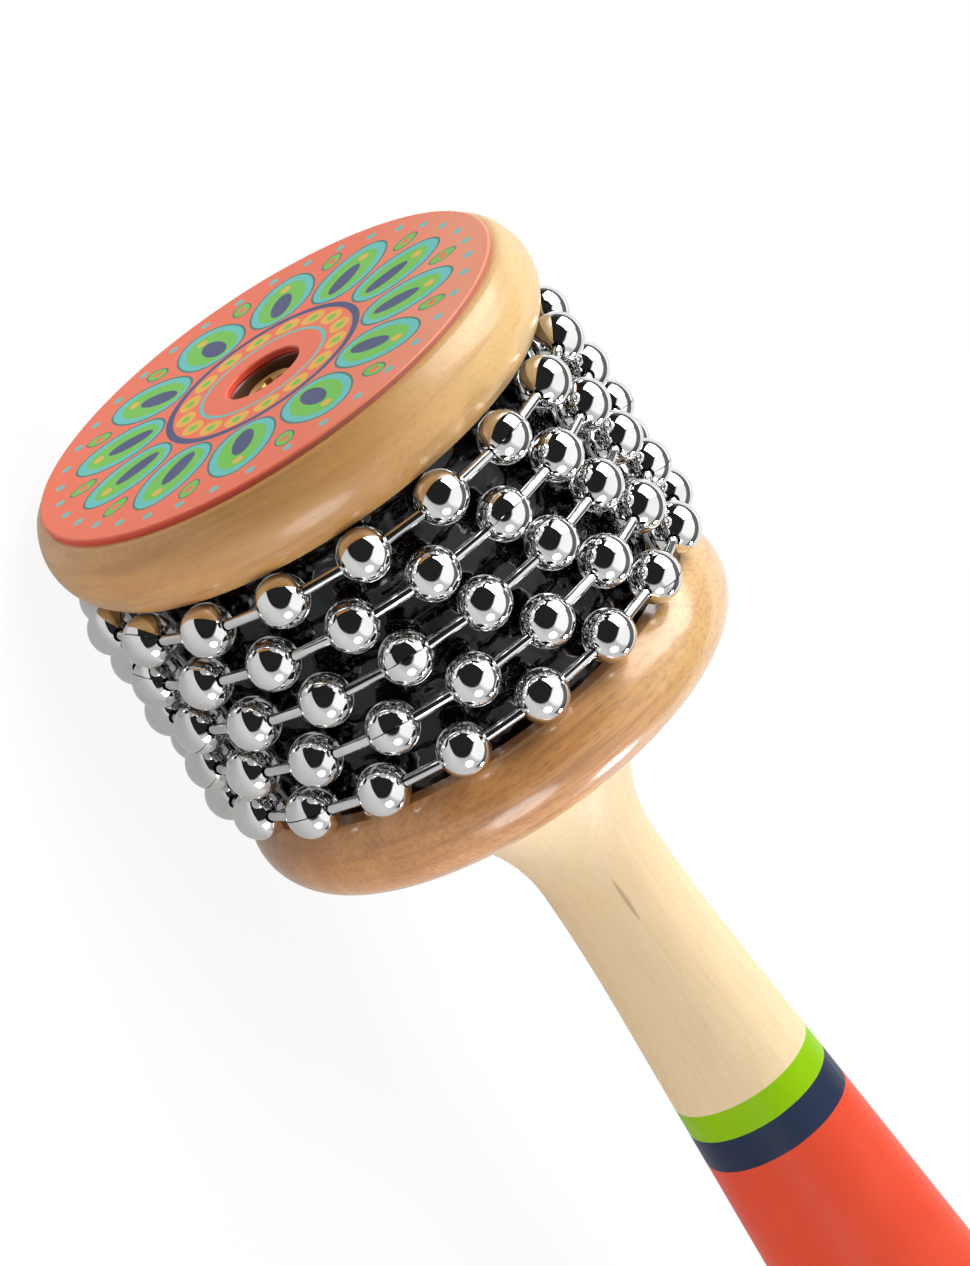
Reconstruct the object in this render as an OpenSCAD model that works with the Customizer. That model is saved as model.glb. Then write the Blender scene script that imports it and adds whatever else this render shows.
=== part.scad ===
// Cabasa with a turned wooden head and handle and five loose loops of steel ball chain.
// Millimetres. Every piece is drawn upright on the turning axis, with z = 0 at the handle's seat.
// laid_down() then lays the whole on its side, the cap toward -x and the handle toward +x.

/* [Ball chain] */
// Outside of one hollow ball
ball_diameter = 8; // [6.5:0.5:10]
// Sheet that the balls are rolled from
ball_wall = 0.45; // [0.3:0.05:0.5]
// Balls in one loop
balls_per_loop = 18; // [15:1:22]
// Ball centre to ball centre along the loop
ball_spacing = 13.5; // [12.5:0.1:16.5]
// Wire of a link, as a share of the ball
wire_share = 0.2; // [0.17:0.01:0.22]
// Hole in a ball, as a share of the ball
hole_share = 0.28; // [0.27:0.01:0.33]
// Head of a link, as a share of the ball
head_share = 0.385; // [0.37:0.005:0.39]
// Free space between a link's head and the inside of its ball
head_play = 0.2; // [0.1:0.05:0.25]
// Seam left where a ball's sheet meets, in degrees
seam_angle = 2.5; // [1.5:0.5:4]
// Free space between neighbouring rows
row_gap = 0.2; // [0.15:0.05:0.6]
// Free space between the end rows and the flanges
end_gap = 0.25; // [0.2:0.05:1]
// Free space between the balls and the sleeve
loop_slack = 0.4; // [0.3:0.05:0.8]

/* [Drum] */
// Sheet of the polished sleeve
sleeve_wall = 0.6; // [0.4:0.1:1]
// Depth of the sleeve's groove in each flange
sleeve_seat = 1.2; // [0.8:0.1:2]
// Free space at each end of the sleeve in its groove
sleeve_end_play = 0.1; // [0.05:0.05:0.2]
// Glue space on the radius of the fitted pieces
fit_gap = 0.05; // [0.03:0.01:0.1]

/* [Cap] */
// How far the cap stands out past the sleeve
cap_ledge = 7.1; // [5.5:0.1:9]
// Thickness of the cap's wood
cap_height = 12.8; // [10:0.2:15]
// Radius of the cap's round edge
cap_edge_radius = 9; // [8:0.5:12]
// Height of the cap's widest place above its underside
cap_edge_height = 7.2; // [5:0.2:7.8]
// Thickness of the painted face disc
face_thickness = 1; // [0.6:0.1:2]
// Rounding of the face disc's edges
face_edge = 0.3; // [0.1:0.05:0.5]
// Bare wood left round the face disc
face_step = 1.1; // [0.4:0.1:3]
// Screw well in the middle of the cap
well_diameter = 12.4; // [10:0.2:16]
// Depth of the well below the face disc
well_depth = 3.6; // [3:0.2:6]

/* [Lower flange] */
// How far the lower flange stands out past the sleeve
lower_ledge = 5.9; // [4.5:0.1:8]
// Thickness of the lower flange
lower_height = 14.2; // [12:0.2:18]
// Radius of the lower flange's round edge
lower_edge_radius = 8; // [7:0.5:10]

/* [Handle] */
// Handle below the lower flange
handle_length = 126.7; // [100:0.1:160]
// Narrowest place of the neck
neck_diameter = 19.4; // [16:0.2:24]
// Radius of the neck's flare
flare_radius = 23.7; // [20:0.1:28]
// Radius of the round rim at the top of the flare, which seats on the lower flange
rim_radius = 2; // [1.5:0.1:3]
// Length of the curve from the neck into the grip
waist_length = 22; // [15:1:30]
// Slope of the grip
grip_angle = 4.05; // [2:0.05:6]
// Rounding of the butt
butt_radius = 7; // [4:0.5:8]
// Tenon that carries the head
tenon_diameter = 18; // [14:0.5:22]
// Space between the tenon's end and the cap
tenon_space = 0.5; // [0.2:0.1:2]

/* [Screw] */
// Head of the screw
screw_head_diameter = 8; // [7:0.2:9.5]
// Height of the screw's head
screw_head_height = 2.6; // [2:0.1:3.4]
// Rounding of the head's upper edge
screw_head_edge = 0.6; // [0.3:0.1:0.9]
// Shank of the screw
screw_diameter = 4; // [3:0.1:5]
// Shank below the head
screw_length = 30; // [20:1:40]
// Length of the screw's point
screw_point = 4; // [2:0.5:6]
// Clearance of the shank in the cap, on the radius
screw_clearance = 0.3; // [0.2:0.05:0.6]
// Width of a slot of the cross recess
recess_width = 1.1; // [0.8:0.1:1.4]
// Span of the cross recess
recess_span = 4.8; // [3.5:0.1:5]
// Depth of the cross recess
recess_depth = 1.8; // [1:0.1:2]
// Mouth of the cone in the middle of the cross recess
recess_mouth = 2.8; // [2:0.1:3.2]

/* [Hidden] */
$fn = 96;
rows = 5;
// How far each loop is turned from having a ball at the very bottom, row 1 next to the cap
row_turn = [6, 15.5, 1, 10, 0];
bottom_angle = 180;
// Turn of the seam from one ball to the next
seam_step = 137.5;
// Turn of the cross recess
recess_turn = 20;
// Length by which a cut passes the face that it opens, and by which joined stretches overlap
over = 1;

ball_r = ball_diameter / 2;
ball_inner_r = ball_r - ball_wall;
wire_r = ball_diameter * wire_share / 2;
hole_r = ball_diameter * hole_share / 2;
head_r = ball_diameter * head_share / 2;
ball_step = 360 / balls_per_loop;
loop_r = ball_spacing / 2 / sin(ball_step / 2);
// A link runs straight from the hole of one ball to the hole of the next
hole_circle_r = sqrt(loop_r * loop_r + ball_r * ball_r);
half_link_angle = ball_step / 2 - atan(ball_r / loop_r);
link_line_r = hole_circle_r * cos(half_link_angle);
half_link_gap = hole_circle_r * sin(half_link_angle);
// A head sits inside its ball with play all round
head_reach = ball_inner_r - head_r - head_play;
side_shift = ball_r * sin(ball_step / 2);
head_depth = ball_r * cos(ball_step / 2) - arc_reach(head_reach, side_shift);
link_half = half_link_gap + head_depth;

sleeve_r = loop_r - ball_r - loop_slack;
sleeve_inner_r = sleeve_r - sleeve_wall;
core_r = sleeve_inner_r - fit_gap;
row_pitch = ball_diameter + row_gap;
drum_length = (rows - 1) * row_pitch + ball_diameter + 2 * end_gap;

drum_base = lower_height;
drum_top = drum_base + drum_length;
cap_top = drum_top + cap_height;
face_top = cap_top + face_thickness;
cap_r = sleeve_r + cap_ledge;
cap_edge_mid_r = cap_r - cap_edge_radius;
cap_top_r = cap_edge_mid_r + arc_reach(cap_edge_radius, cap_height - cap_edge_height);
cap_foot_r = cap_edge_mid_r + arc_reach(cap_edge_radius, cap_edge_height);
face_r = cap_top_r - face_step;
lower_r = sleeve_r + lower_ledge;
well_r = well_diameter / 2;
well_floor = cap_top - well_depth;

neck_r = neck_diameter / 2;
neck_drop = flare_radius;
// The rim touches the seat's plane and the flare
rim_mid_r = neck_r + flare_radius - 2 * sqrt(flare_radius * rim_radius);
rim_touch_r = rim_mid_r + rim_radius * (neck_r + flare_radius - rim_mid_r) / (flare_radius + rim_radius);
rim_touch = rim_radius + rim_radius * (flare_radius - rim_radius) / (flare_radius + rim_radius);
waist_radius = waist_length / sin(grip_angle);
grip_start_r = neck_r + waist_radius * (1 - cos(grip_angle));
grip_start = neck_drop + waist_length;
// The butt's rounding touches the sloping grip and the flat end
butt_line_r = grip_start_r + (handle_length - butt_radius - grip_start) * tan(grip_angle);
butt_mid_r = butt_line_r - butt_radius / cos(grip_angle);
butt_touch_r = butt_mid_r + butt_radius * cos(grip_angle);
butt_touch = handle_length - butt_radius - butt_radius * sin(grip_angle);
tenon_r = tenon_diameter / 2;
tenon_top = drum_top - tenon_space;

screw_r = screw_diameter / 2;
screw_head_r = screw_head_diameter / 2;
pilot_depth = screw_length - (well_floor - tenon_top) + over;

// The lowest ball touches the ground and the length is centred on the origin
axis_height = loop_r + ball_r;
middle = (face_top - handle_length) / 2;

// How far an arc of this radius reaches sideways at a distance above or below its middle
function arc_reach(radius, distance) = sqrt(radius * radius - distance * distance);

function row_height(row) = drum_top - end_gap - ball_r - (row - 1) * row_pitch;

module laid_down() {
  translate([middle, 0, axis_height])
    rotate([0, -90, 0])
      children();
}

// Right half of a drawing, for turning round the axis
module turned_half(size) {
  intersection() {
    children();
    translate([0, -size])
      square([size, 2 * size]);
  }
}

// Ring for a groove or a tube, from the floor up
module ring(outer, inner, height) {
  difference() {
    cylinder(r = outer, h = height);
    translate([0, 0, -over])
      cylinder(r = inner, h = height + 2 * over);
  }
}

// Handle: tenon, rim and flare, waist, sloping grip and rounded butt
module handle_profile() {
  translate([0, -over])
    square([tenon_r, tenon_top + over]);
  difference() {
    polygon([[0, -neck_drop], [rim_touch_r, -neck_drop], [rim_touch_r, -rim_touch],
      [rim_mid_r, -rim_radius], [rim_mid_r, 0], [0, 0]]);
    translate([neck_r + flare_radius, -neck_drop])
      circle(r = flare_radius);
  }
  translate([rim_mid_r, -rim_radius])
    circle(r = rim_radius);
  difference() {
    translate([0, -grip_start])
      square([grip_start_r, waist_length + over]);
    translate([neck_r + waist_radius, -neck_drop])
      circle(r = waist_radius);
  }
  grip_top_r = grip_start_r - over * tan(grip_angle);
  polygon([[0, -handle_length], [butt_mid_r, -handle_length],
    [butt_mid_r, butt_radius - handle_length], [butt_touch_r, -butt_touch],
    [grip_top_r, over - grip_start], [0, over - grip_start]]);
  translate([butt_mid_r, butt_radius - handle_length])
    circle(r = butt_radius);
}

module handle() {
  color("BurlyWood")
    laid_down()
      difference() {
        rotate_extrude()
          handle_profile();
        translate([0, 0, tenon_top - pilot_depth])
          cylinder(r = screw_r + fit_gap, h = pilot_depth + over);
      }
}

// Round edge of the lower flange: flat on top, full round down to the underside
module lower_profile() {
  square([lower_r - lower_edge_radius, lower_height]);
  intersection() {
    translate([lower_r - lower_edge_radius, lower_edge_radius])
      circle(r = lower_edge_radius);
    translate([lower_r - lower_edge_radius, 0])
      square([lower_edge_radius, lower_height]);
  }
}

module lower_flange() {
  color("Peru")
    laid_down()
      difference() {
        rotate_extrude()
          lower_profile();
        translate([0, 0, -over])
          cylinder(r = tenon_r + fit_gap, h = lower_height + 2 * over);
        translate([0, 0, drum_base - sleeve_seat])
          ring(sleeve_r + fit_gap, sleeve_inner_r - fit_gap, sleeve_seat + over);
      }
}

module drum_core() {
  color("Tan")
    laid_down()
      translate([0, 0, drum_base])
        ring(core_r, tenon_r + fit_gap, drum_length);
}

module drum_sleeve() {
  color("LightSteelBlue")
    laid_down()
      translate([0, 0, drum_base - sleeve_seat + sleeve_end_play])
        ring(sleeve_r, sleeve_inner_r, drum_length + 2 * (sleeve_seat - sleeve_end_play));
}

// Round edge of the cap: widest a little above the middle of its height
module cap_profile() {
  polygon([[0, 0], [cap_foot_r, 0], [cap_edge_mid_r, cap_edge_height],
    [cap_top_r, cap_height], [0, cap_height]]);
  intersection() {
    translate([cap_edge_mid_r, cap_edge_height])
      circle(r = cap_edge_radius);
    translate([cap_edge_mid_r, 0])
      square([cap_edge_radius, cap_height]);
  }
}

module cap() {
  color("Peru")
    laid_down()
      translate([0, 0, drum_top])
        difference() {
          rotate_extrude()
            cap_profile();
          translate([0, 0, cap_height - well_depth])
            cylinder(r = well_r, h = well_depth + over);
          translate([0, 0, -over])
            cylinder(r = screw_r + screw_clearance, h = cap_height);
          translate([0, 0, -over])
            ring(sleeve_r + fit_gap, sleeve_inner_r - fit_gap, sleeve_seat + over);
        }
}

// Disc with its two upper edges eased
module face_profile() {
  translate([well_r, 0])
    square([face_r - well_r, face_thickness - face_edge]);
  translate([well_r + face_edge, 0])
    square([face_r - well_r - 2 * face_edge, face_thickness]);
  for (edge_r = [well_r + face_edge, face_r - face_edge])
    translate([edge_r, face_thickness - face_edge])
      circle(r = face_edge);
}

module face_disc() {
  color("Tomato")
    laid_down()
      translate([0, 0, cap_top])
        rotate_extrude()
          face_profile();
}

// Pan head with its upper edge rounded, plain shank and point
module screw_profile() {
  square([screw_head_r - screw_head_edge, screw_head_height]);
  square([screw_head_r, screw_head_height - screw_head_edge]);
  translate([screw_head_r - screw_head_edge, screw_head_height - screw_head_edge])
    circle(r = screw_head_edge);
  polygon([[0, -screw_length], [screw_r, screw_point - screw_length],
    [screw_r, over / 2], [0, over / 2]]);
}

// Cross of two slots that meet in a cone, from its floor up
module cross_recess() {
  for (quarter = [0, 90])
    rotate([0, 0, recess_turn + quarter])
      translate([-recess_span / 2, -recess_width / 2, 0])
        cube([recess_span, recess_width, recess_depth + over]);
  cylinder(d1 = recess_width, d2 = recess_mouth, h = recess_depth);
}

module screw() {
  color("Gold")
    laid_down()
      translate([0, 0, well_floor])
        difference() {
          rotate_extrude()
            screw_profile();
          translate([0, 0, screw_head_height - recess_depth])
            cross_recess();
        }
}

// Hollow ball rolled from sheet, holes at both ends of its z axis and a seam from hole to hole
module ball() {
  rotate_extrude(angle = 360 - seam_angle)
    difference() {
      circle(r = ball_r);
      circle(r = ball_inner_r);
      translate([-ball_diameter, -ball_diameter])
        square([ball_diameter + hole_r, 2 * ball_diameter]);
    }
}

// Straight wire with a round head at each end
module link() {
  rotate_extrude() {
    translate([0, -link_half])
      square([wire_r, 2 * link_half]);
    for (end = [-1, 1])
      translate([0, end * link_half])
        turned_half(head_r)
          circle(r = head_r);
  }
}

module loop_balls(row) {
  laid_down()
    for (k = [0 : balls_per_loop - 1])
      rotate([0, 0, bottom_angle + row_turn[row - 1] + k * ball_step])
        translate([loop_r, 0, row_height(row)])
          rotate([90, 0, 0])
            rotate([0, 0, (k + row) * seam_step])
              ball();
}

module loop_links(row, first, last) {
  laid_down()
    for (k = [first : last])
      rotate([0, 0, bottom_angle + row_turn[row - 1] + (k + 0.5) * ball_step])
        translate([link_line_r, 0, row_height(row)])
          rotate([90, 0, 0])
            link();
}

module chain_balls(row) {
  color("Silver")
    loop_balls(row);
}

module chain_links(row) {
  color("Gainsboro")
    loop_links(row, 0, balls_per_loop - 2);
}

// The link that is pressed in last and closes the loop
module chain_closing_link(row) {
  color("DarkGray")
    loop_links(row, balls_per_loop - 1, balls_per_loop - 1);
}

handle();
lower_flange();
drum_core();
drum_sleeve();
cap();
face_disc();
screw();
chain_balls(1);  // chain_1_balls
chain_links(1);  // chain_1_links
chain_closing_link(1);  // chain_1_closing_link
chain_balls(2);  // chain_2_balls
chain_links(2);  // chain_2_links
chain_closing_link(2);  // chain_2_closing_link
chain_balls(3);  // chain_3_balls
chain_links(3);  // chain_3_links
chain_closing_link(3);  // chain_3_closing_link
chain_balls(4);  // chain_4_balls
chain_links(4);  // chain_4_links
chain_closing_link(4);  // chain_4_closing_link
chain_balls(5);  // chain_5_balls
chain_links(5);  // chain_5_links
chain_closing_link(5);  // chain_5_closing_link
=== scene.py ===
import math

import bpy
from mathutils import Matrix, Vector


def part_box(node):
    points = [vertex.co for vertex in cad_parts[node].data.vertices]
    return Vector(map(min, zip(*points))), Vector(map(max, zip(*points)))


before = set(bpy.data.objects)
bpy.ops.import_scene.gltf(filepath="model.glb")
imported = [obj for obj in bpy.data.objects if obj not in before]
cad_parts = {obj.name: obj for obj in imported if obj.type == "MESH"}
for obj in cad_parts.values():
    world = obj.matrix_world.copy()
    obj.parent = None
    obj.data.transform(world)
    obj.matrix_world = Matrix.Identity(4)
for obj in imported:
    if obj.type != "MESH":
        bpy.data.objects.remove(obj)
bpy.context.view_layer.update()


# Drum core: a plain wooden roller that holds the two flanges apart. It is turned from beech,
# left raw, and lies hidden under the sleeve.

MM = 0.001


def colour(red, green, blue):
    """A colour as read off a colour card, 0 to 255, made linear for a shader."""
    levels = [level / 255 for level in (red, green, blue)]
    linear = [v / 12.92 if v < 0.04045 else ((v + 0.055) / 1.055) ** 2.4 for v in levels]
    return (*linear, 1.0)


def feed(tree, socket, value):
    """Links a socket to another one, or sets its constant."""
    if isinstance(value, bpy.types.NodeSocket):
        tree.links.new(value, socket)
    else:
        socket.default_value = value


def place(tree, kind, inputs=None, **settings):
    """Puts a node into a tree, with its settings and inputs."""
    made = tree.nodes.new(kind)
    for name, value in settings.items():
        setattr(made, name, value)
    for name, value in (inputs or {}).items():
        feed(tree, made.inputs[name], value)
    return made


def calc(tree, operation, *values):
    """Result of one Math node."""
    return place(tree, "ShaderNodeMath", dict(enumerate(values)), operation=operation).outputs[0]


def split(tree, vector):
    """X, Y and Z of a place."""
    return place(tree, "ShaderNodeSeparateXYZ", {0: vector}).outputs


def scaled(tree, vector, scale):
    """A place, scaled along each axis."""
    made = place(tree, "ShaderNodeVectorMath", {0: vector, 1: scale}, operation="MULTIPLY")
    return made.outputs[0]


def step(tree, value, low, high):
    """0 below low, 1 above high, and smooth between."""
    made = place(tree, "ShaderNodeMapRange", {"Value": value, "From Min": low, "From Max": high},
                 interpolation_type="SMOOTHSTEP")
    return made.outputs["Result"]


def lay(tree, mask, under, over, strength=None):
    """One colour laid over another by a mask, at full strength or thinner."""
    share = mask if strength is None else calc(tree, "MULTIPLY", mask, strength)
    made = place(tree, "ShaderNodeMix", {0: share, 6: under, 7: over}, data_type="RGBA")
    return made.outputs[2]


def soft_noise(tree, where, cells, detail=2.0):
    """Soft noise from 0 to 1, with so many cells to a millimetre along each axis."""
    made = place(tree, "ShaderNodeTexNoise",
                 {"Vector": scaled(tree, where, cells), "Scale": 1.0, "Detail": detail})
    return made.outputs["Fac"]


def new_group(name, inputs, outputs):
    """A node group with named sockets: the group, what it is given and what it puts out."""
    group = bpy.data.node_groups.new(name, "ShaderNodeTree")
    for socket, kind in inputs.items():
        group.interface.new_socket(socket, in_out="INPUT", socket_type=kind)
    for socket in outputs:
        group.interface.new_socket(socket, in_out="OUTPUT", socket_type="NodeSocketFloat")
    given = group.nodes.new("NodeGroupInput").outputs
    return group, given, group.nodes.new("NodeGroupOutput").inputs


def make_wood_grain():
    """Growth rings, fibres and flecks of a board whose grain runs along X, in millimetres."""
    pith_side, pith_depth = 46.0, 30.0
    sway_cells, fibre_cells = (0.014, 0.05, 0.05), (0.06, 1.7, 1.7)
    early_share, faintest_ring = 0.8, 0.4
    fleck_length, fleck_width = 2.8, 0.36
    fleck_core, fleck_rim, fleck_sink = 0.12, 0.42, 0.5
    tree, given, out = new_group(
        "wood_grain",
        {"Place": "NodeSocketVector", "Ring Spacing": "NodeSocketFloat",
         "Waviness": "NodeSocketFloat", "Fleck Cover": "NodeSocketFloat"},
        ("Rings", "Fibres", "Flecks", "Height"))
    where = given["Place"]
    sway = calc(tree, "SUBTRACT", soft_noise(tree, where, sway_cells, 3.0), 0.5)
    sway = calc(tree, "MULTIPLY", sway, given["Waviness"])
    axes = split(tree, where)
    side = calc(tree, "POWER", calc(tree, "ADD", axes["Y"], pith_side), 2.0)
    depth = calc(tree, "POWER", calc(tree, "SUBTRACT", axes["Z"], pith_depth), 2.0)
    from_pith = calc(tree, "SQRT", calc(tree, "ADD", side, depth))
    count = calc(tree, "DIVIDE", calc(tree, "ADD", from_pith, sway), given["Ring Spacing"])
    year = calc(tree, "FRACT", count)
    early = calc(tree, "DIVIDE", year, early_share)
    late = calc(tree, "DIVIDE", calc(tree, "SUBTRACT", 1.0, year), 1 - early_share)
    strong = place(tree, "ShaderNodeTexWhiteNoise", {"W": calc(tree, "FLOOR", count)},
                   noise_dimensions="1D").outputs["Value"]
    strong = calc(tree, "MULTIPLY_ADD", strong, 1 - faintest_ring, faintest_ring)
    rings = calc(tree, "MULTIPLY", calc(tree, "MINIMUM", early, late), strong)
    fibres = soft_noise(tree, where, fibre_cells, 3.0)
    fleck_cells = (1 / fleck_length, 1 / fleck_width, 1 / fleck_width)
    cells = place(tree, "ShaderNodeTexVoronoi",
                  {"Vector": scaled(tree, where, fleck_cells), "Scale": 1.0}).outputs
    chosen = place(tree, "ShaderNodeSeparateColor", {0: cells["Color"]}).outputs[0]
    chosen = calc(tree, "LESS_THAN", chosen, given["Fleck Cover"])
    fleck = calc(tree, "SUBTRACT", 1.0, step(tree, cells["Distance"], fleck_core, fleck_rim))
    flecks = calc(tree, "MULTIPLY", fleck, chosen)
    sunk = calc(tree, "MULTIPLY", flecks, fleck_sink)
    feed(tree, out["Rings"], rings)
    feed(tree, out["Fibres"], fibres)
    feed(tree, out["Flecks"], flecks)
    feed(tree, out["Height"], calc(tree, "SUBTRACT", fibres, sunk))
    return tree


wood_grain = make_wood_grain()


def new_material(name):
    """A node material: the material, its tree and its shader's inputs."""
    material = bpy.data.materials.new(name)
    material.use_nodes = True
    tree = material.node_tree
    return material, tree, tree.nodes["Principled BSDF"].inputs


def bump(tree, shader, height, strength, depth):
    """Lifts the surface by a height, depth in millimetres."""
    made = place(tree, "ShaderNodeBump",
                 {"Height": height, "Strength": strength, "Distance": depth * MM})
    feed(tree, shader["Normal"], made.outputs["Normal"])


def place_mm(tree):
    """Place on the resting object, in millimetres."""
    metres = place(tree, "ShaderNodeTexCoord").outputs["Object"]
    return scaled(tree, metres, (1 / MM, 1 / MM, 1 / MM))


def board_place(tree, shift, turn):
    """Place in a board whose grain runs across the drum: shift picks the stretch of board, and
    turn tilts its grain, in degrees."""
    tilted = place(tree, "ShaderNodeVectorRotate",
                   {"Vector": place_mm(tree), "Angle": math.radians(turn)},
                   rotation_type="X_AXIS").outputs[0]
    axes = split(tree, tilted)
    lying = place(tree, "ShaderNodeCombineXYZ", {"X": axes["Z"], "Y": axes["X"], "Z": axes["Y"]})
    moved = place(tree, "ShaderNodeVectorMath", {0: lying.outputs[0], 1: shift}, operation="ADD")
    return moved.outputs[0]


def grain_in(tree, where, spacing, waviness, cover):
    """Outputs of the wood grain in one material."""
    return place(tree, "ShaderNodeGroup",
                 {"Place": where, "Ring Spacing": spacing, "Waviness": waviness, "Fleck Cover": cover},
                 node_tree=wood_grain).outputs


def finish_node(name, material):
    """Gives a piece that keeps its own shape its finish."""
    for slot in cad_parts[name].material_slots:
        slot.material = material


fibre_range = (0.42, 0.72)
# Painted light: heights in mm over which the beech is painted paler toward its top.
sap_start, sap_end = 60.0, 88.0


def beech(name, shift, turn, pale, mid, dark, sap, fibre_share, fleck_cover):
    """Beech painted paler on its upper side, a painted light for the light from above, with lines of
    growth along its rim: its material, tree, shader inputs, colour and grain."""
    ring_spacing, ring_sway, ring_share = 3.4, 7.0, 0.55
    cloud_cells, cloud_range, cloud_share = (0.03, 0.11, 0.11), (0.4, 0.7), 0.55
    line_cells, line_range, line_share = (0.025, 0.55, 0.07), (0.48, 0.75), 0.45
    fleck_share = 0.5
    sap_line_loss, sap_fleck_loss = 0.2, 0.36
    material, tree, shader = new_material(name)
    where = board_place(tree, shift, turn)
    grain = grain_in(tree, where, ring_spacing, ring_sway, fleck_cover)
    # Painted light: the top of the wood is painted paler, with fewer lines and flecks, for the light
    # from above.
    sapwood = step(tree, split(tree, place_mm(tree))["Z"], sap_start, sap_end)
    mid_or_sap = lay(tree, sapwood, mid, sap)
    tone = lay(tree, grain["Rings"], lay(tree, sapwood, pale, sap), mid_or_sap, ring_share)
    cloud = step(tree, soft_noise(tree, where, cloud_cells), *cloud_range)
    tone = lay(tree, cloud, tone, mid_or_sap, cloud_share)
    lines = step(tree, soft_noise(tree, where, line_cells, 3.0), *line_range)
    tone = lay(tree, lines, tone, dark,
               calc(tree, "MULTIPLY_ADD", sapwood, -sap_line_loss, line_share))
    tone = lay(tree, step(tree, grain["Fibres"], *fibre_range), tone, dark, fibre_share)
    tone = lay(tree, grain["Flecks"], tone, dark,
               calc(tree, "MULTIPLY_ADD", sapwood, -sap_fleck_loss, fleck_share))
    return material, tree, shader, tone, grain


core_wood, tree, shader, tone, grain = beech(
    "raw_beech", shift=(0, 120, 40), turn=0,
    pale=colour(222, 190, 144), mid=colour(202, 163, 115), dark=colour(160, 118, 78),
    sap=colour(226, 196, 150), fibre_share=0.3, fleck_cover=0.2)
feed(tree, shader["Base Color"], tone)
shader["Roughness"].default_value = 0.75
bump(tree, shader, grain["Height"], strength=0.5, depth=0.1)
finish_node("drum_core", core_wood)


# Sleeve: polished steel sheet rolled round the core, its ends let into grooves in the flanges. The
# loops have rubbed faint lines round it and left shallow dents. Its colour is painted dim where it is
# looked at straight, a painted shade for the dark undersides of the balls that it mirrors, and it
# keeps a bright steel colour where the balls mirror it.

def make_polish_marks():
    """Smudges and fine rubbed lines on bright metal; the lines run across X."""
    smudge_cells, smudge_range = (0.16, 0.16, 0.16), (0.4, 0.75)
    patch_cells, line_range = (0.3, 0.05, 0.05), (0.5, 0.75)
    tree, given, out = new_group(
        "polish_marks", {"Place": "NodeSocketVector", "Line Spacing": "NodeSocketFloat"},
        ("Smudge", "Lines"))
    where = given["Place"]
    smudge = soft_noise(tree, where, smudge_cells, 4.0)
    across = calc(tree, "DIVIDE", split(tree, where)["X"], given["Line Spacing"])
    lines = place(tree, "ShaderNodeTexNoise", {"W": across, "Scale": 1.0, "Detail": 3.0},
                  noise_dimensions="1D").outputs["Fac"]
    patch = soft_noise(tree, where, patch_cells)
    feed(tree, out["Smudge"], step(tree, smudge, *smudge_range))
    feed(tree, out["Lines"], calc(tree, "MULTIPLY", step(tree, lines, *line_range), patch))
    return tree


polish_marks = make_polish_marks()


def marks_in(tree, where, spacing):
    """Outputs of the polish marks in one material."""
    return place(tree, "ShaderNodeGroup", {"Place": where, "Line Spacing": spacing},
                 node_tree=polish_marks).outputs


steel_rough, rubbed_rough, smudge_rough = 0.07, 0.22, 0.05
dent_cells, dent_depth, rubbed_height = (0.22, 0.16, 0.16), 0.7, 0.006

sleeve_steel, tree, shader = new_material("polished_sleeve_steel")
where = place_mm(tree)
marks = marks_in(tree, where, spacing=0.22)
seen_straight = place(tree, "ShaderNodeLightPath").outputs["Is Camera Ray"]
bright = lay(tree, marks["Smudge"], colour(190, 190, 192), colour(168, 168, 170))
# Painted shade: a dim copy of the steel, shown only where the sleeve is looked at straight.
painted_dim_steel = lay(tree, marks["Smudge"], colour(52, 51, 52), colour(34, 33, 34))
feed(tree, shader["Base Color"], lay(tree, seen_straight, bright, painted_dim_steel))
shader["Metallic"].default_value = 1.0
rubbed = calc(tree, "MULTIPLY_ADD", marks["Lines"], rubbed_rough, steel_rough)
feed(tree, shader["Roughness"], calc(tree, "MULTIPLY_ADD", marks["Smudge"], smudge_rough, rubbed))
dents = soft_noise(tree, where, dent_cells)
height = calc(tree, "MULTIPLY_ADD", marks["Lines"], rubbed_height, dents)
bump(tree, shader, height, strength=1.0, depth=dent_depth)
finish_node("drum_sleeve", sleeve_steel)


# Lower flange: a beech disc turned with a full round edge, satin varnished. The handle's tenon
# passes through it and holds it against the drum.

def varnished_beech(name, coat, **board):
    """Beech under satin varnish: its material, tree, shader inputs and colour."""
    wood_rough, fibre_rough = 0.38, 0.2
    material, tree, shader, tone, grain = beech(name, **board)
    feed(tree, shader["Base Color"], tone)
    rough = calc(tree, "MULTIPLY_ADD", grain["Fibres"], fibre_rough, wood_rough)
    feed(tree, shader["Roughness"], rough)
    shader["Specular IOR Level"].default_value = 0.6
    shader["Coat Weight"].default_value = coat
    shader["Coat Roughness"].default_value = 0.16
    bump(tree, shader, grain["Height"], strength=0.25, depth=0.05)
    return material, tree, shader, tone


flange_beech = varnished_beech(
    "lower_flange_beech", coat=1.0, shift=(0, 0, 0), turn=33,
    pale=colour(234, 169, 99), mid=colour(210, 136, 71), dark=colour(144, 81, 42),
    sap=colour(240, 194, 126), fibre_share=0.3, fleck_cover=0.3)[0]
finish_node("lower_flange", flange_beech)


# Handle: one piece of pale close-grained wood, turned with a flared neck and a rounded butt.
# Its lower half is dipped red, with a navy and a green band painted round it above that.

def make_paint_film():
    """Slight unevenness of brushed paint: a colour share and a skin height."""
    cloud_cells, skin_cells = (0.09, 0.09, 0.09), (1.6, 1.6, 1.6)
    tree, given, out = new_group("paint_film", {"Place": "NodeSocketVector"}, ("Cloud", "Skin"))
    feed(tree, out["Cloud"], soft_noise(tree, given["Place"], cloud_cells, 3.0))
    feed(tree, out["Skin"], soft_noise(tree, given["Place"], skin_cells, 1.0))
    return tree


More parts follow.
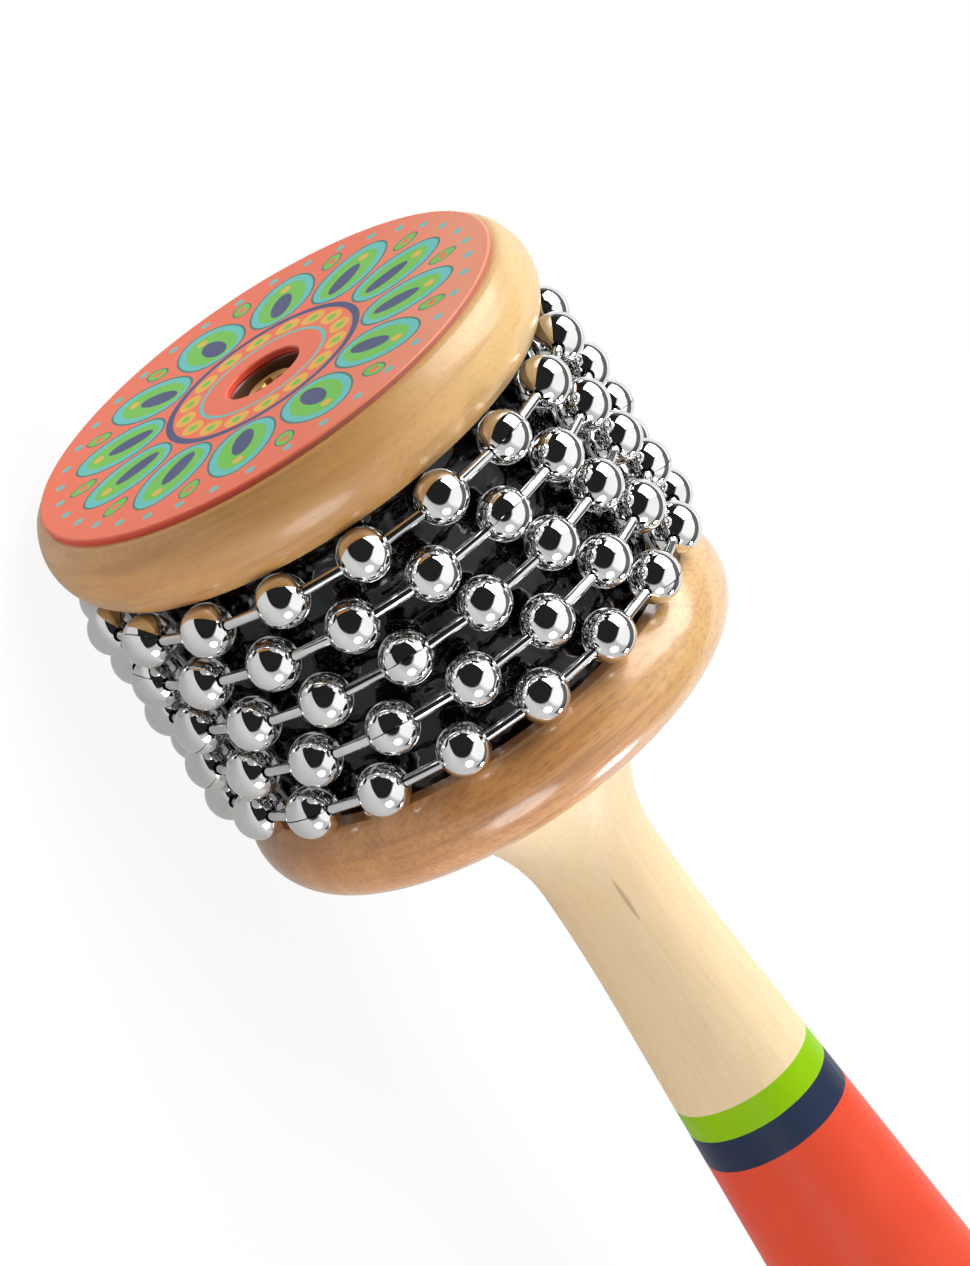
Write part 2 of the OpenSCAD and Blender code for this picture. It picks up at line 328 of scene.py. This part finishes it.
paint_film = make_paint_film()


def film_in(tree, where):
    """Outputs of the paint film in one material."""
    return place(tree, "ShaderNodeGroup", {"Place": where}, node_tree=paint_film).outputs


face_low, face_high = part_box("face_disc")
face_x = face_low.x
axis_z = (face_low.z + face_high.z) / 2


def round_axis(tree):
    """Distance along the axis from the face, distance from the axis, both in mm, and angle."""
    axes = split(tree, place_mm(tree))
    along = calc(tree, "SUBTRACT", axes["X"], face_x / MM)
    up = calc(tree, "SUBTRACT", axes["Z"], axis_z / MM)
    aside = calc(tree, "POWER", axes["Y"], 2.0)
    reach = calc(tree, "SQRT", calc(tree, "MULTIPLY_ADD", up, up, aside))
    return along, reach, calc(tree, "ARCTAN2", axes["Y"], up)


neck_pale, grip_pale, neck_end, grip_start = colour(255, 234, 195), colour(255, 230, 187), 72.0, 112.0
ring_tone, fibre_tone = colour(252, 222, 178), colour(241, 205, 157)
fleck_tone, streak_tone = colour(200, 162, 118), colour(182, 128, 90)
streak_along, streak_half, streak_width = 96.6, 4.2, 0.62
streak_angle = math.radians(-69.5)
paint_bands = [
    (134.3, colour(142, 202, 0), colour(160, 212, 0)),
    (139.2, colour(32, 44, 70), colour(44, 56, 84)),
    (144.9, colour(236, 78, 50), colour(243, 90, 60)),
]
band_edge, band_waver = 0.05, 0.3
bare_rough, fibre_rough, paint_rough = 0.36, 0.2, 0.42
grain_height, skin_height = 0.5, 0.1

handle_wood, tree, shader = new_material("handle_wood_and_paint")
where = place_mm(tree)
along, reach, angle = round_axis(tree)
grain = grain_in(tree, where, spacing=5.0, waviness=9.0, cover=0.07)
film = film_in(tree, where)
tone = lay(tree, step(tree, along, neck_end, grip_start), neck_pale, grip_pale)
tone = lay(tree, grain["Rings"], tone, ring_tone, strength=0.5)
tone = lay(tree, step(tree, grain["Fibres"], *fibre_range), tone, fibre_tone, strength=0.3)
tone = lay(tree, grain["Flecks"], tone, fleck_tone, strength=0.16)
aside = calc(tree, "ABSOLUTE", calc(tree, "SUBTRACT", angle, streak_angle))
aside = calc(tree, "DIVIDE", calc(tree, "MULTIPLY", aside, reach), streak_width)
lengthways = calc(tree, "DIVIDE", calc(tree, "SUBTRACT", along, streak_along), streak_half)
taper = calc(tree, "SUBTRACT", 1.0, calc(tree, "POWER", lengthways, 2.0))
streak = calc(tree, "SUBTRACT", 1.0, step(tree, aside, 0.0, taper))
streak = calc(tree, "MULTIPLY", streak, calc(tree, "GREATER_THAN", taper, 0.0))
tone = lay(tree, streak, tone, streak_tone, strength=0.55)
edge = calc(tree, "MULTIPLY_ADD", film["Cloud"], band_waver, along)
coats = []
for start, deep, thin in paint_bands:
    coats.append(step(tree, edge, start - band_edge, start + band_edge))
    tone = lay(tree, coats[-1], tone, lay(tree, film["Cloud"], deep, thin))
feed(tree, shader["Base Color"], tone)
painted = coats[0]
rough = calc(tree, "MULTIPLY_ADD", grain["Fibres"], fibre_rough, bare_rough)
smoothed = calc(tree, "SUBTRACT", paint_rough, rough)
feed(tree, shader["Roughness"], calc(tree, "MULTIPLY_ADD", painted, smoothed, rough))
shader["Specular IOR Level"].default_value = 0.16
bare = calc(tree, "SUBTRACT", 1.0, painted)
height = calc(tree, "MULTIPLY", calc(tree, "MULTIPLY", bare, grain["Height"]), grain_height)
height = calc(tree, "MULTIPLY_ADD", film["Skin"], skin_height, height)
for coat in coats:
    height = calc(tree, "ADD", height, coat)
bump(tree, shader, height, strength=0.25, depth=0.05)
finish_node("handle", handle_wood)


# Cap: a second varnished beech disc, turned with a rounder edge and held on by the screw in the
# well in its middle. The red of the face has run a little way down the well, and the well's wall is
# painted dark, deep red at the top and brown below, as painted shade in the recess.

well_reach, well_paint_depth, paint_run_soft = 6.5, 1.4, 0.3
shoulder_ease, ease_steps, ease_angle = 0.9, 5, math.radians(40)
corner_gap = 0.002

cap_beech, tree, shader, tone = varnished_beech(
    "cap_beech", coat=0.45, shift=(35, -70, 55), turn=0,
    pale=colour(228, 172, 102), mid=colour(206, 144, 77), dark=colour(176, 117, 61),
    sap=colour(242, 202, 136), fibre_share=0.14, fleck_cover=0.06)
along, reach, angle = round_axis(tree)
below = step(tree, along, well_paint_depth - paint_run_soft, well_paint_depth + paint_run_soft)
# Painted shade: the well's wall is painted dark red above the paint line and dark brown below it.
painted_shade_wall = lay(tree, below, colour(176, 48, 34), colour(92, 58, 32))
in_well = calc(tree, "LESS_THAN", reach, well_reach)
feed(tree, shader["Base Color"], lay(tree, in_well, tone, painted_shade_wall))
finish_node("cap", cap_beech)
cap_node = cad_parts["cap"]
joined = cap_node.modifiers.new("joined_corners", "WELD")
joined.merge_threshold = corner_gap * MM
eased = cap_node.modifiers.new("eased_shoulder", "BEVEL")
eased.width = shoulder_ease * MM
eased.segments = ease_steps
eased.limit_method = "ANGLE"
eased.angle_limit = ease_angle


# Face disc: a thin wooden disc glued on the cap, painted coral red and printed with a rosette of
# round petals, beads and rings. The red is painted paler toward its upper side as a painted sheen,
# and its rim is painted a darker red as painted shade, duller toward the top.

def between(tree, value, low, high, soft):
    """1 inside a range, 0 outside it."""
    rise = step(tree, value, low - soft, low + soft)
    fall = step(tree, value, high - soft, high + soft)
    return calc(tree, "SUBTRACT", rise, fall)


face_red, face_red_thin = colour(255, 113, 77), colour(255, 124, 88)
face_red_sheen, sheen_start, sheen_end = colour(255, 157, 120), 50.0, 80.0
edge_red_shade, edge_red_dulled = colour(244, 88, 66), colour(198, 118, 96)
edge_dull_start, edge_dull_end = 38.0, 62.0
edge_start, edge_full = 0.15, 0.35
print_blue, print_green, print_teal = colour(98, 206, 200), colour(116, 208, 66), colour(66, 118, 112)
print_navy, print_yellow = colour(58, 70, 122), colour(248, 190, 62)
petal_count, bead_count, dot_count = 12, 16, 36
petal_ring, bud_ring, bead_ring, dot_ring = 24.8, 31.0, 13.2, 35.0
print_edge = 0.06
face_rough, cloud_rough = 0.36, 0.15

face_paint, tree, shader = new_material("printed_face_paint")
where = place_mm(tree)
film = film_in(tree, where)
along, reach, angle = round_axis(tree)


def sideways_in(count, turn):
    """Distance from the middle line of the nearest of count equal sectors, in mm."""
    turns = calc(tree, "ADD", calc(tree, "DIVIDE", angle, 2 * math.pi), turn / count + 1)
    share = calc(tree, "SUBTRACT", calc(tree, "FRACT", calc(tree, "MULTIPLY", turns, count)), 0.5)
    return calc(tree, "MULTIPLY", calc(tree, "MULTIPLY", share, 2 * math.pi / count), reach)


def oval(sideways, middle, half_long, half_wide):
    """Mask of an oval in every sector, its long axis on a radius."""
    out = calc(tree, "DIVIDE", calc(tree, "SUBTRACT", reach, middle), half_long)
    aside = calc(tree, "DIVIDE", sideways, half_wide)
    aside = calc(tree, "MULTIPLY", aside, aside)
    size = calc(tree, "SQRT", calc(tree, "MULTIPLY_ADD", out, out, aside))
    soft = print_edge / half_wide
    return calc(tree, "SUBTRACT", 1.0, step(tree, size, 1 - soft, 1 + soft))


petals, buds = sideways_in(petal_count, turn=0.5), sideways_in(petal_count, turn=0.0)
beads, dots = sideways_in(bead_count, turn=0.0), sideways_in(dot_count, turn=0.0)
print_layers = [
    (oval(dots, dot_ring, 0.8, 0.8), print_blue),
    (oval(petals, petal_ring, 7.9, 5.8), print_teal),
    (oval(petals, petal_ring, 7.5, 5.4), print_blue),
    (oval(petals, petal_ring - 0.4, 6.2, 4.1), print_green),
    (oval(petals, petal_ring - 1.8, 3.9, 1.8), print_navy),
    (oval(petals, petal_ring + 3.8, 0.9, 0.9), print_yellow),
    (oval(buds, bud_ring, 2.4, 1.7), print_teal),
    (oval(buds, bud_ring, 2.1, 1.4), print_green),
    (oval(buds, bud_ring, 0.8, 0.8), face_red),
    (between(tree, reach, 15.4, 16.6, print_edge), print_navy),
    (oval(beads, bead_ring, 1.75, 2.2), print_yellow),
    (oval(beads, bead_ring, 0.8, 0.8), print_green),
    (between(tree, reach, 10.2, 10.8, print_edge), print_blue),
]
up = split(tree, where)["Z"]
# Painted sheen: the face's red is made paler toward the top.
tone = lay(tree, step(tree, up, sheen_start, sheen_end),
           lay(tree, film["Cloud"], face_red, face_red_thin), face_red_sheen)
for mask, ink in print_layers:
    tone = lay(tree, mask, tone, ink)
# Painted shade: the disc's rim is painted darker red, and duller toward the top where light falls on
# it.
edge_shade_tone = lay(tree, step(tree, up, edge_dull_start, edge_dull_end), edge_red_shade, edge_red_dulled)
tone = lay(tree, step(tree, along, edge_start, edge_full), tone, edge_shade_tone)
feed(tree, shader["Base Color"], tone)
feed(tree, shader["Roughness"], calc(tree, "MULTIPLY_ADD", film["Cloud"], cloud_rough, face_rough))
bump(tree, shader, film["Skin"], strength=0.15, depth=0.02)
finish_node("face_disc", face_paint)


# Screw: a cross-head wood screw, plated brass yellow. It is driven through the bottom of the cap's
# well into the end of the tenon, and holds the cap on the drum.

def plated(name, line_spacing, clean, dull, clean_rough, smudge_rough):
    """Plated metal with polish marks: its material, tree, shader inputs and marks."""
    material, tree, shader = new_material(name)
    marks = marks_in(tree, place_mm(tree), line_spacing)
    feed(tree, shader["Base Color"], lay(tree, marks["Smudge"], clean, dull))
    shader["Metallic"].default_value = 1.0
    rough = calc(tree, "MULTIPLY_ADD", marks["Smudge"], smudge_rough, clean_rough)
    feed(tree, shader["Roughness"], rough)
    return material, tree, shader, marks


screw_brass, tree, shader, marks = plated(
    "screw_brass", line_spacing=0.1, clean=colour(246, 212, 140), dull=colour(204, 164, 92),
    clean_rough=0.38, smudge_rough=0.2)
bump(tree, shader, marks["Lines"], strength=0.3, depth=0.02)
finish_node("screw", screw_brass)


# Ball chain: five loose loops of nickel plated balls, rolled from sheet over the heads of
# straight wire links. The loops lie free round the sleeve.

ball_nickel = plated(
    "ball_nickel", line_spacing=0.6, clean=colour(232, 232, 231), dull=colour(220, 220, 220),
    clean_rough=0.025, smudge_rough=0.04)[0]
link_nickel = plated(
    "link_nickel", line_spacing=0.3, clean=colour(222, 222, 222), dull=colour(202, 202, 203),
    clean_rough=0.08, smudge_rough=0.08)[0]

loop_count = sum(name.endswith("_balls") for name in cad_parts)
for loop in range(1, loop_count + 1):
    finish_node(f"chain_{loop}_balls", ball_nickel)
    finish_node(f"chain_{loop}_links", link_nickel)
    finish_node(f"chain_{loop}_closing_link", link_nickel)


# Studio: a round white table in a white tent. The tent is open on the camera's side, and the dark
# room shows there in the bright metal. A softbox hangs overhead, a small one stands at the
# handle's end, and a round lamp stands low in front.

head_x = (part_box("cap")[0].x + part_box("lower_flange")[1].x) / 2
table_radius, table_fade, table_sides = 0.35, 0.08, 96
table_x, table_y = head_x + 0.21, 0.124
table_shade = 0.12
mirrored_share, mirrored_glow, seen_glow = 0.5, 0.8, 1.04

table_paint, tree, shader = new_material("white_table")
ray = place(tree, "ShaderNodeLightPath").outputs
axes = split(tree, place(tree, "ShaderNodeTexCoord").outputs["Object"])
out = calc(tree, "SUBTRACT", axes["X"], table_x)
deep = calc(tree, "SUBTRACT", axes["Y"], table_y)
deep = calc(tree, "MULTIPLY", deep, deep)
reach = calc(tree, "SQRT", calc(tree, "MULTIPLY_ADD", out, out, deep))
rim = step(tree, reach, table_radius - table_fade, table_radius)
mirrored = calc(tree, "MAXIMUM", ray["Is Glossy Ray"], ray["Is Transmission Ray"])
seen = calc(tree, "MULTIPLY_ADD", rim, table_shade, 1 - table_shade)
seen = calc(tree, "MULTIPLY", ray["Is Camera Ray"], seen)
shown = calc(tree, "MULTIPLY_ADD", mirrored, mirrored_share, seen)
glow = calc(tree, "MULTIPLY", ray["Is Camera Ray"], seen_glow)
glow = calc(tree, "MULTIPLY_ADD", mirrored, mirrored_glow, glow)
flat = place(tree, "ShaderNodeBsdfDiffuse", {"Color": colour(205, 205, 205)})
white = place(tree, "ShaderNodeEmission", {"Strength": glow})
both = place(tree, "ShaderNodeMixShader", {0: shown, 1: flat.outputs[0], 2: white.outputs[0]})
tree.nodes.remove(tree.nodes["Principled BSDF"])
feed(tree, tree.nodes["Material Output"].inputs["Surface"], both.outputs[0])

table_mesh = bpy.data.meshes.new("table")
turns = [2 * math.pi * side / table_sides for side in range(table_sides)]
rim_points = [(table_x + table_radius * math.cos(turn), table_y + table_radius * math.sin(turn), 0)
              for turn in turns]
table_mesh.from_pydata(rim_points, [], [range(table_sides)])
table_mesh.materials.append(table_paint)
table = bpy.data.objects.new("table", table_mesh)
bpy.context.scene.collection.objects.link(table)

opening_side = Vector((-0.88, -0.47))
opening_height, opening_half_width, opening_half_height = 0.31, 1.3, 0.95
opening_edge = (0.92, 1.06)
ceiling_edge, wall_level, ceiling_extra = (0.4, 0.65), 0.7, 0.6
backdrop_way, backdrop_extra, backdrop_soft = Vector((0.355, 0.88, -0.314)), 0.5, 0.1
gap_inner, gap_outer, gap_soft = 0.54, 0.07, 0.03
gap_foot, gap_dark = (0.0, 0.15), 0.88
tent_level, room_level = 0.9, 0.02
lit_level, cloth_lit = 0.19, 0.1
least_reach = 0.001

room = bpy.data.worlds.new("studio_tent")
bpy.context.scene.world = room
room.use_nodes = True
tree = room.node_tree
ray = place(tree, "ShaderNodeLightPath").outputs
direction = place(tree, "ShaderNodeTexCoord").outputs["Generated"]
axes = split(tree, direction)
level_reach = calc(tree, "SUBTRACT", 1.0, calc(tree, "POWER", axes["Z"], 2.0))
level_reach = calc(tree, "MAXIMUM", calc(tree, "SQRT", level_reach), least_reach)
toward = calc(tree, "MULTIPLY", axes["Y"], opening_side.y)
toward = calc(tree, "MULTIPLY_ADD", axes["X"], opening_side.x, toward)
aside = calc(tree, "ARCCOSINE", calc(tree, "DIVIDE", toward, level_reach))
aside = calc(tree, "DIVIDE", aside, opening_half_width)
rise = calc(tree, "ARCSINE", axes["Z"])
above = calc(tree, "DIVIDE", calc(tree, "SUBTRACT", rise, opening_height), opening_half_height)
above = calc(tree, "MULTIPLY", above, above)
from_middle = calc(tree, "SQRT", calc(tree, "MULTIPLY_ADD", aside, aside, above))
cloth_level = calc(tree, "MULTIPLY_ADD", step(tree, rise, *ceiling_edge), ceiling_extra, wall_level)
cloth = calc(tree, "MULTIPLY", step(tree, from_middle, *opening_edge), cloth_level)
behind = place(tree, "ShaderNodeVectorMath", {0: direction, 1: backdrop_way},
               operation="DOT_PRODUCT").outputs["Value"]
gap = between(tree, behind, gap_outer, gap_inner, gap_soft)
gap = calc(tree, "MULTIPLY", gap, step(tree, rise, *gap_foot))
backdrop = step(tree, behind, gap_inner, gap_inner + backdrop_soft)
backdrop = calc(tree, "MULTIPLY_ADD", backdrop, backdrop_extra, 1.0)
backdrop = calc(tree, "MULTIPLY", backdrop, calc(tree, "MULTIPLY_ADD", gap, -gap_dark, 1.0))
backdrop = calc(tree, "MULTIPLY", cloth, backdrop)
metal_sees = calc(tree, "MULTIPLY_ADD", backdrop, tent_level, room_level)
wood_sees = calc(tree, "MULTIPLY_ADD", cloth, cloth_lit, lit_level)
level = calc(tree, "SUBTRACT", metal_sees, wood_sees)
level = calc(tree, "MULTIPLY_ADD", ray["Is Glossy Ray"], level, wood_sees)
level = calc(tree, "MAXIMUM", level, ray["Is Camera Ray"])
feed(tree, tree.nodes["Background"].inputs["Strength"], level)
tree.nodes["Background"].inputs["Color"].default_value = (1, 1, 1, 1)


def lamp_at(name, shape, azimuth, elevation, distance, size, radiance):
    """An area lamp turned to the head. Its angles are in degrees, and radiance 1 is the white of
    the background."""
    lamp = bpy.data.lights.new(name, "AREA")
    lamp.shape = shape
    lamp.size, lamp.size_y = size
    area = size[0] * size[1] * (math.pi / 4 if shape == "ELLIPSE" else 1)
    lamp.energy = radiance * math.pi * area
    made = bpy.data.objects.new(name, lamp)
    around, up = math.radians(azimuth), math.radians(elevation)
    way = Vector((math.cos(around) * math.cos(up), math.sin(around) * math.cos(up), math.sin(up)))
    made.location = Vector((head_x, 0, axis_z)) + way * distance
    made.rotation_euler = (-way).to_track_quat("-Z", "Y").to_euler()
    bpy.context.scene.collection.objects.link(made)


lamp_at("ceiling_softbox", "RECTANGLE",
        azimuth=150, elevation=57, distance=1.1, size=(1.0, 1.0), radiance=4.8)
lamp_at("handle_side_softbox", "RECTANGLE",
        azimuth=5, elevation=14, distance=1.0, size=(0.16, 0.14), radiance=52.0)
lamp_at("low_round_lamp", "ELLIPSE",
        azimuth=-48, elevation=3, distance=1.0, size=(0.5, 0.5), radiance=6.2)


# Camera: a long lens above and in front of the cap, turned on its side, so that the instrument
# stands slanting in the picture.

picture_width, picture_height = 970, 1266
focal_pixels = 6000
sensor = 36.0
camera_place = Vector((-359.91, -777.47, 325.84))
camera_turns = (54.063, -57.644, 9.496)

camera = bpy.data.cameras.new("camera")
camera.sensor_width = sensor
camera.lens = focal_pixels / max(picture_width, picture_height) * sensor
camera_stand = bpy.data.objects.new("camera", camera)
camera_stand.location = camera_place * MM
camera_stand.rotation_euler = [math.radians(turn) for turn in camera_turns]
bpy.context.scene.collection.objects.link(camera_stand)
bpy.context.scene.camera = camera_stand
bpy.context.scene.view_settings.view_transform = "Standard"
